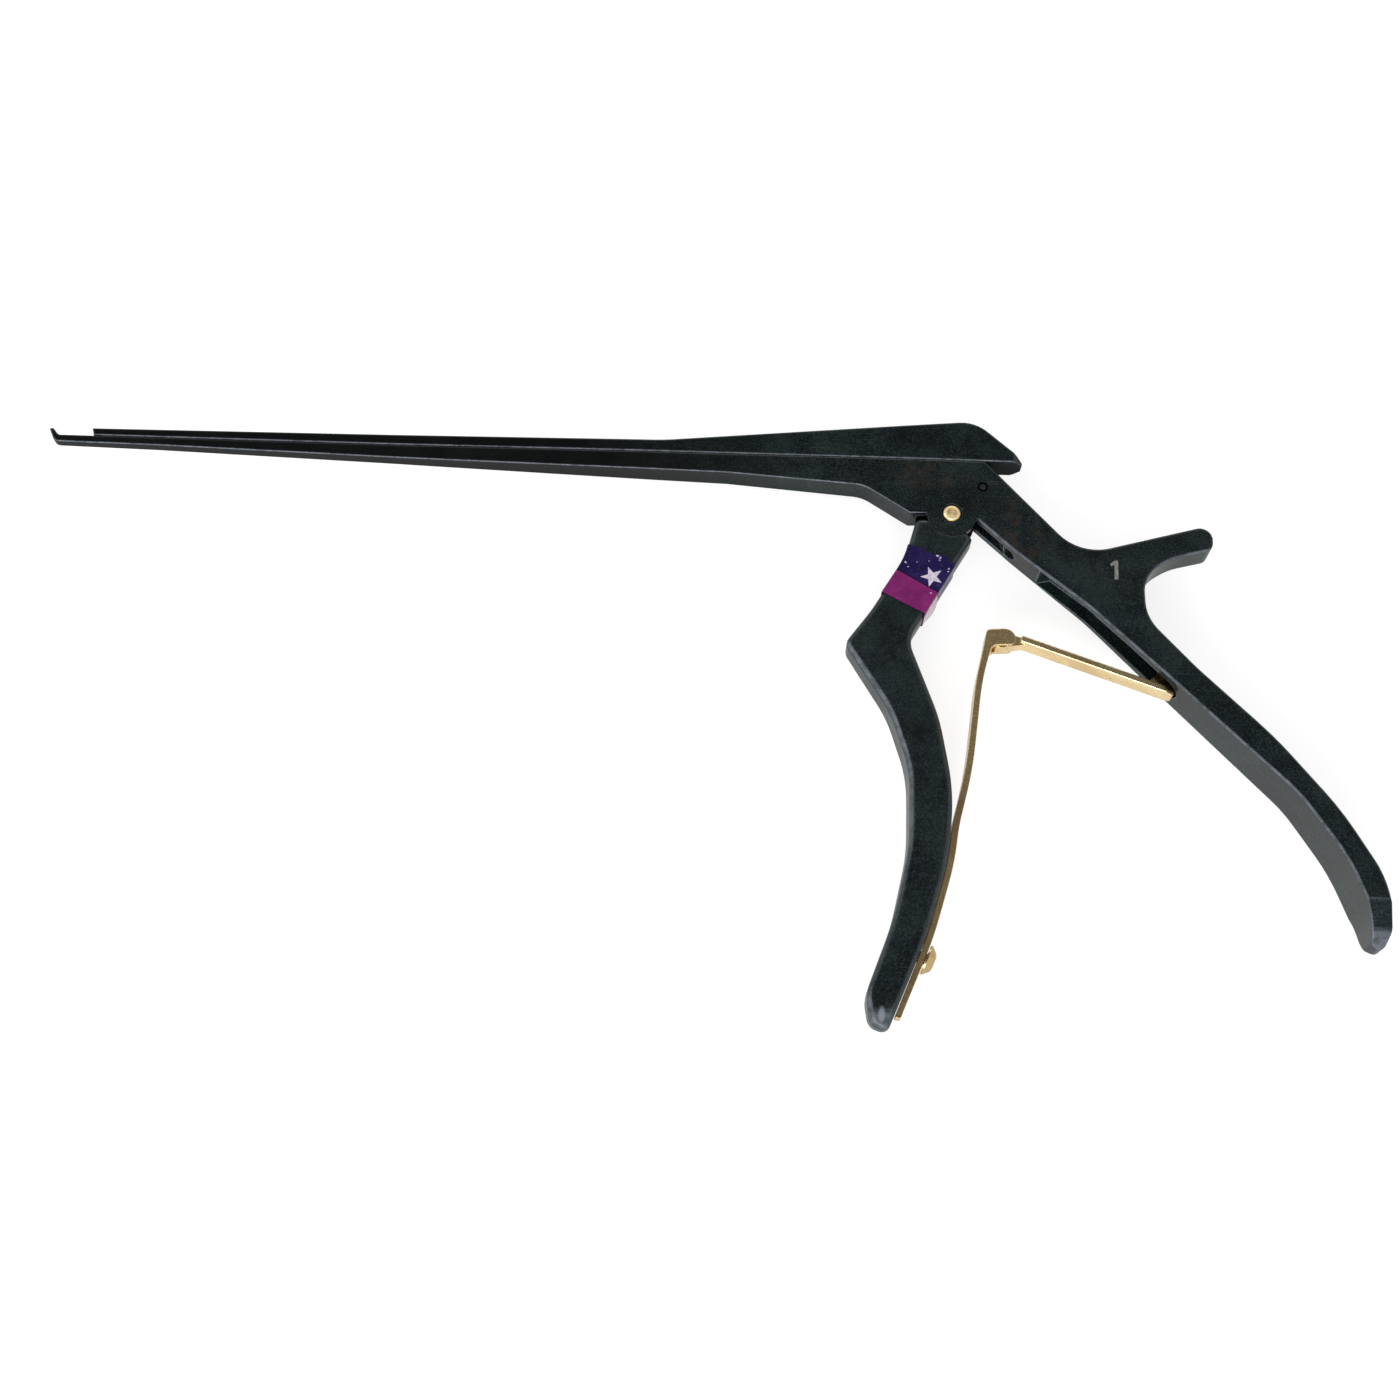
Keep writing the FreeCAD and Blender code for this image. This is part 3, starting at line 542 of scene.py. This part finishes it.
def finish_cad_nodes():
    dress("shaft_and_rear_handle",
          black_coating("black_coated_body", 0.0, BODY_MARKS, slim=(-75.0, -22.0)))
    dress("sliding_shaft",
          black_coating("black_coated_slide", 0.7, SLIDE_MARKS, slim=(-90.0, -25.0), specular=0.26))
    dress("front_handle", black_coating("black_coated_handle", 1.9, HANDLE_MARKS))
    # painted shade rings at the edge of the screw's dimple and at its rim
    dimple_and_rim = [(PIVOT, 0.00078, 0.00098), (PIVOT, 0.00172, 0.00200)]
    dress("pivot_screw", gold_coating("gold_pivot_coating", 0.3, 0.34, (1.0, 0.80, 0.44),
                                      (0.94, 0.70, 0.36), dimple_and_rim, metallic=0.5))
    dress("leaf_spring_screw", gold_coating("gold_screw_coating", 0.5, 0.26, (0.58, 0.42, 0.20),
                                            (0.36, 0.24, 0.10)))
    # painted shade round the strut's hinge eye
    shaded_eye = [(spot(43.55, -34.8), 0.0001, 0.0022)]
    dress("rear_spring_strut", gold_coating("gold_strut_coating", 0.9, 0.23, (1.0, 0.79, 0.44),
                                            (0.80, 0.58, 0.29), shaded_eye))
    pins = pin_steel()
    for node in ("stop_pin", "strut_hinge_pin", "spring_link_pin"):
        dress(node, pins)
    dress("magenta_tape", marking_tape("magenta_marking_tape", (0.235, 0.012, 0.150),
                                       (0.170, 0.008, 0.112), 0.4))


# Pieces

def new_piece(name, mesh, material):
    """Links a finished mesh as a piece of the instrument."""
    mesh.name = name
    mesh.materials.clear()
    mesh.materials.append(material)
    piece = bpy.data.objects.new(name, mesh)
    bpy.context.scene.collection.objects.link(piece)
    return piece


def copied_node(node):
    """The faces of a CAD node as an editable mesh with its corners joined."""
    shape = bmesh.new()
    shape.from_mesh(frame["nodes"][node].data)
    bmesh.ops.remove_doubles(shape, verts=shape.verts, dist=1e-6)
    return shape


def finished(shape):
    mesh = bpy.data.meshes.new("piece")
    shape.to_mesh(mesh)
    shape.free()
    return mesh


def slice_across(shape, point, direction, clear=False):
    """Cuts new edges along a plane, and takes away what lies in front of it if clear is set."""
    everything = shape.verts[:] + shape.edges[:] + shape.faces[:]
    bmesh.ops.bisect_plane(shape, geom=everything, dist=1e-7, plane_co=point,
                           plane_no=direction, clear_outer=clear)


def order_faces(shape):
    """Sorts the faces along a slanting line, since extruding leaves them in any order."""
    slant = Vector((1.0, 0.37, 0.11))
    shape.faces.sort(key=lambda face: face.calc_center_median().dot(slant))


def bend_leaf_spring():
    """The leaf spring as one strip, cut across every 2 mm between its screw and the link."""
    shape = copied_node("front_leaf_spring")
    first_cut, cut_spacing = -93.0, 2.0
    for step in range(30):
        slice_across(shape, spot(0, first_cut + cut_spacing * step), (0, 1, 0))
    gold = gold_coating("gold_leaf_coating", 1.4, 0.27, (0.90, 0.67, 0.34), (0.72, 0.50, 0.24))
    leaf = new_piece("bent_leaf_spring", finished(shape), gold)
    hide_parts("front_leaf_spring")
    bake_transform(leaf)


# upper edge of the indigo tape: share of the way across, and how far it stands up in millimetres
TAPE_EDGE = [(0.0, 0.0), (0.13, 0.10), (0.27, 0.45), (0.40, 0.20), (0.52, 0.15), (0.62, 0.55),
             (0.74, 0.85), (0.84, 0.55), (0.92, 0.05), (1.0, 0.0)]
TAPE_TOP = ((-9.17, -7.8), (0.54, -12.3))
TAPE_DOWN = Vector((-0.40, -0.92, 0))
# height of the tape's face over the middle of the instrument, and the thickness of its ink
TAPE_FACE = 3.452
INK_THICKNESS = 0.012


def edge_rise(share):
    """Height of the torn tape edge at a share of the way across, rounded between its points."""
    share = min(max(share, 0.0), 1.0)
    for (a, low), (b, high) in zip(TAPE_EDGE, TAPE_EDGE[1:]):
        if share <= b:
            t = (share - a) / (b - a)
            return low + (high - low) * t * t * (3 - 2 * t)
    return 0.0


def wrap_indigo_tape():
    """The indigo band with its torn, wavy upper edge."""
    shape = copied_node("indigo_tape")
    left, right = (spot(*p) for p in TAPE_TOP)
    across = right - left
    down = Vector((across.y, -across.x, 0)).normalized()
    cuts, torn_depth = 26, 1.1
    for step in range(1, cuts):
        slice_across(shape, left + across * step / cuts, across.normalized())
    for depth in (0.5, torn_depth):
        slice_across(shape, left + TAPE_DOWN * depth * MM, down)
    for vert in shape.verts:
        away = vert.co - left
        share = away.dot(across) / across.length_squared
        depth = away.dot(down) / MM
        if depth < torn_depth:
            keep = 1.0 - max(depth, 0.0) / torn_depth
            vert.co -= TAPE_DOWN * edge_rise(share) * keep * MM
    indigo = marking_tape("indigo_marking_tape", (0.013, 0.005, 0.085), (0.007, 0.003, 0.052), 0.1)
    tape = new_piece("torn_indigo_tape", finished(shape), indigo)
    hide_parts("indigo_tape")
    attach(tape, "front_handle")


def star_inputs(tree):
    """The named inputs of the star row, and the identifier of each."""
    face = tree.interface
    face.new_socket("Geometry", in_out="INPUT", socket_type="NodeSocketGeometry")
    ids = {}
    for name, kind in (("Stars", "NodeSocketInt"), ("Tip Radius", "NodeSocketFloat"),
                       ("Notch Radius", "NodeSocketFloat"), ("First Star", "NodeSocketVector"),
                       ("Step", "NodeSocketVector"), ("Ink Thickness", "NodeSocketFloat"),
                       ("Turn", "NodeSocketFloat")):
        ids[name] = face.new_socket(name, in_out="INPUT", socket_type=kind).identifier
    face.new_socket("Geometry", in_out="OUTPUT", socket_type="NodeSocketGeometry")
    return ids


def star_tree(ink):
    """Geometry Nodes: a row of printed stars along a line, all turned by the same angle."""
    tree = bpy.data.node_groups.new("star_row", "GeometryNodeTree")
    ids = star_inputs(tree)
    nodes, links = tree.nodes, tree.links
    given = nodes.new("NodeGroupInput").outputs
    star = nodes.new("GeometryNodeCurveStar")
    star.inputs["Points"].default_value = 5
    links.new(given["Notch Radius"], star.inputs["Inner Radius"])
    links.new(given["Tip Radius"], star.inputs["Outer Radius"])
    flat = nodes.new("GeometryNodeFillCurve")
    links.new(star.outputs["Curve"], flat.inputs["Curve"])
    row = nodes.new("GeometryNodeMeshLine")
    row.mode = "OFFSET"
    links.new(given["Stars"], row.inputs["Count"])
    links.new(given["First Star"], row.inputs["Start Location"])
    links.new(given["Step"], row.inputs["Offset"])
    turn = nodes.new("ShaderNodeCombineXYZ")
    links.new(given["Turn"], turn.inputs["Z"])
    placed = nodes.new("GeometryNodeInstanceOnPoints")
    links.new(row.outputs["Mesh"], placed.inputs["Points"])
    links.new(flat.outputs["Mesh"], placed.inputs["Instance"])
    links.new(turn.outputs[0], placed.inputs["Rotation"])
    real = nodes.new("GeometryNodeRealizeInstances")
    links.new(placed.outputs[0], real.inputs[0])
    raised = nodes.new("GeometryNodeExtrudeMesh")
    links.new(real.outputs[0], raised.inputs["Mesh"])
    links.new(given["Ink Thickness"], raised.inputs["Offset Scale"])
    raised.inputs["Individual"].default_value = False
    inked = nodes.new("GeometryNodeSetMaterial")
    inked.inputs["Material"].default_value = ink
    links.new(raised.outputs["Mesh"], inked.inputs["Geometry"])
    out = nodes.new("NodeGroupOutput")
    links.new(inked.outputs[0], out.inputs[0])
    return tree, ids


# small leftovers of print: centre, size and turn, in millimetres and radians
SPECKS = [((-3.15, -10.35), 0.34, 0.2), ((-2.55, -10.80), 0.30, 1.3), ((-2.70, -11.35), 0.22, 0.4),
          ((-0.80, -13.30), 0.26, 0.9), ((-0.95, -13.95), 0.20, 0.1), ((-7.44, -11.97), 0.15, 0.5),
          ((-4.93, -11.64), 0.14, 1.1), ((-4.53, -19.03), 0.24, 0.0), ((-9.30, -13.10), 0.20, 0.7)]


def print_specks(ink):
    """Flecks of white ink left where other stars have rubbed off."""
    shape = bmesh.new()
    for (x, y), size, turn in SPECKS:
        loop = []
        for i, reach in enumerate((1.0, 0.55, 1.1, 0.6, 0.9)):
            a = turn + 2 * math.pi * i / 5
            place = spot(x + size * reach * math.cos(a), y + size * reach * math.sin(a),
                         TAPE_FACE + INK_THICKNESS)
            loop.append(shape.verts.new(place))
        face = shape.faces.new(loop)
        skin = bmesh.ops.extrude_face_region(shape, geom=[face])
        for vert in (g for g in skin["geom"] if isinstance(g, bmesh.types.BMVert)):
            vert.co.z -= INK_THICKNESS * MM
    bmesh.ops.recalc_face_normals(shape, faces=shape.faces)
    order_faces(shape)
    specks = new_piece("printed_specks", finished(shape), ink)
    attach(specks, "front_handle")


def print_stars(name, side, ink):
    """White stars printed along the indigo tape, the last one cut by the fold of the tape."""
    tree, ids = star_tree(ink)
    mesh = bpy.data.meshes.new(name)
    maker = bpy.data.objects.new(name + "_maker", mesh)
    bpy.context.scene.collection.objects.link(maker)
    row = maker.modifiers.new("star_row", "NODES")
    row.node_group = tree
    first = spot(-4.31, -15.26, TAPE_FACE)
    last = spot(-11.55, -10.95, TAPE_FACE)
    row[ids["Stars"]] = 2
    row[ids["Tip Radius"]] = 2.45 * MM
    row[ids["Notch Radius"]] = 0.98 * MM
    row[ids["First Star"]] = first
    row[ids["Step"]] = last - first
    row[ids["Ink Thickness"]] = INK_THICKNESS * MM
    row[ids["Turn"]] = math.radians(38.0)
    current = bpy.context.evaluated_depsgraph_get()
    done = bpy.data.meshes.new_from_object(maker.evaluated_get(current))
    bpy.data.objects.remove(maker)
    shape = bmesh.new()
    shape.from_mesh(done)
    bmesh.ops.remove_doubles(shape, verts=shape.verts, dist=1e-7)
    fold, over_the_fold = spot(-9.75, -11.0), (-0.96, 0.28, 0)
    slice_across(shape, fold, over_the_fold, clear=True)
    if side < 0:
        for vert in shape.verts:
            vert.co.z = 2 * PIVOT.z - vert.co.z
        bmesh.ops.reverse_faces(shape, faces=shape.faces)
    stars = new_piece(name, finished(shape), ink)
    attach(stars, "front_handle")


def flat_plate(name, outline, thickness, material, body):
    """A thin plate from an outline of points in millimetres, with its sides going down."""
    shape = bmesh.new()
    top = [shape.verts.new(spot(*p)) for p in outline]
    low = [shape.verts.new(spot(x, y, z - thickness)) for x, y, z in outline]
    shape.faces.new(top)
    shape.faces.new(low[::-1])
    for i in range(len(top)):
        j = (i + 1) % len(top)
        shape.faces.new((top[i], low[i], low[j], top[j]))
    bmesh.ops.recalc_face_normals(shape, faces=shape.faces)
    plate = new_piece(name, finished(shape), material)
    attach(plate, body)


def web_face(y):
    """Height of the rear handle's web over the middle, which grows towards the handle."""
    fork_height, fork_end, slope = 3.2, -8.0, 0.8 / 9.0
    return fork_height + (fork_end - y) * slope


def fill_size_numeral():
    """The size numeral 1 on the web of the rear handle."""
    digit = [(33.72, -14.55), (34.52, -14.52), (34.68, -9.95), (34.02, -9.93), (32.98, -10.85),
             (33.2, -11.4), (33.86, -10.98)]
    proud, thickness = 0.015, 0.06
    outline = [(x, y, web_face(y) + proud) for x, y in digit]
    flat_plate("size_numeral", outline, thickness, pale_filling(), "frame")


def ring_seam(name, centre, inner, outer, height, body):
    """Flat dark ring round a flush pin."""
    shape = bmesh.new()
    count = 48
    low = height - 0.03
    loops = []
    for radius, z in ((inner, height), (outer, height), (outer, low), (inner, low)):
        loop = []
        for i in range(count):
            a = 2 * math.pi * i / count
            loop.append(shape.verts.new(spot(centre[0] + radius * math.cos(a),
                                             centre[1] + radius * math.sin(a), z)))
        loops.append(loop)
    for k in range(4):
        one, two = loops[k], loops[(k + 1) % 4]
        for i in range(count):
            j = (i + 1) % count
            shape.faces.new((one[i], one[j], two[j], two[i]))
    bmesh.ops.recalc_face_normals(shape, faces=shape.faces)
    seam = new_piece(name, finished(shape), dark_seam())
    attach(seam, body)


def curl_tape_end():
    """Loose end of the clear backing, standing off the rear edge of the magenta band."""
    shape = bmesh.new()
    start, end = Vector((-3.15, -18.6, 0)), Vector((-5.75, -24.2, 0))
    out = Vector((0.90, -0.42, 0))
    stands_off, upper_edge, width = 0.95, 2.6, 3.4
    rows = []
    lengthwise, across = 16, 6
    for i in range(lengthwise + 1):
        t = i / lengthwise
        base = start.lerp(end, t)
        lift = stands_off * math.sin(math.pi * min(1.0, 0.15 + 0.85 * t)) * (1 - 0.25 * t)
        row = []
        for k in range(across + 1):
            v = k / across
            height = Vector((0, 0, upper_edge - width * v))
            place = base + out * (lift * math.sin(v * 1.45)) + height
            row.append(shape.verts.new(spot(*place)))
        rows.append(row)
    for i in range(lengthwise):
        for k in range(across):
            shape.faces.new((rows[i][k], rows[i + 1][k], rows[i + 1][k + 1], rows[i][k + 1]))
    bmesh.ops.recalc_face_normals(shape, faces=shape.faces)
    everything = shape.verts[:] + shape.edges[:] + shape.faces[:]
    bmesh.ops.solidify(shape, geom=everything, thickness=0.05 * MM)
    order_faces(shape)
    curl = new_piece("curled_tape_end", finished(shape), clear_backing())
    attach(curl, "front_handle")


def add_pieces():
    bend_leaf_spring()
    wrap_indigo_tape()
    ink = white_print()
    print_stars("printed_stars_upper", 1, ink)
    print_stars("printed_stars_under", -1, ink)
    print_specks(ink)
    fill_size_numeral()
    ring_seam("stop_pin_seam", (6.6, 6.5), 0.70, 1.15, 3.215, "frame")
    curl_tape_end()


place_camera()
light_the_table()
fill_world()
lay_floor()
finish_cad_nodes()
add_pieces()
bpy.context.scene.view_settings.view_transform = "Standard"
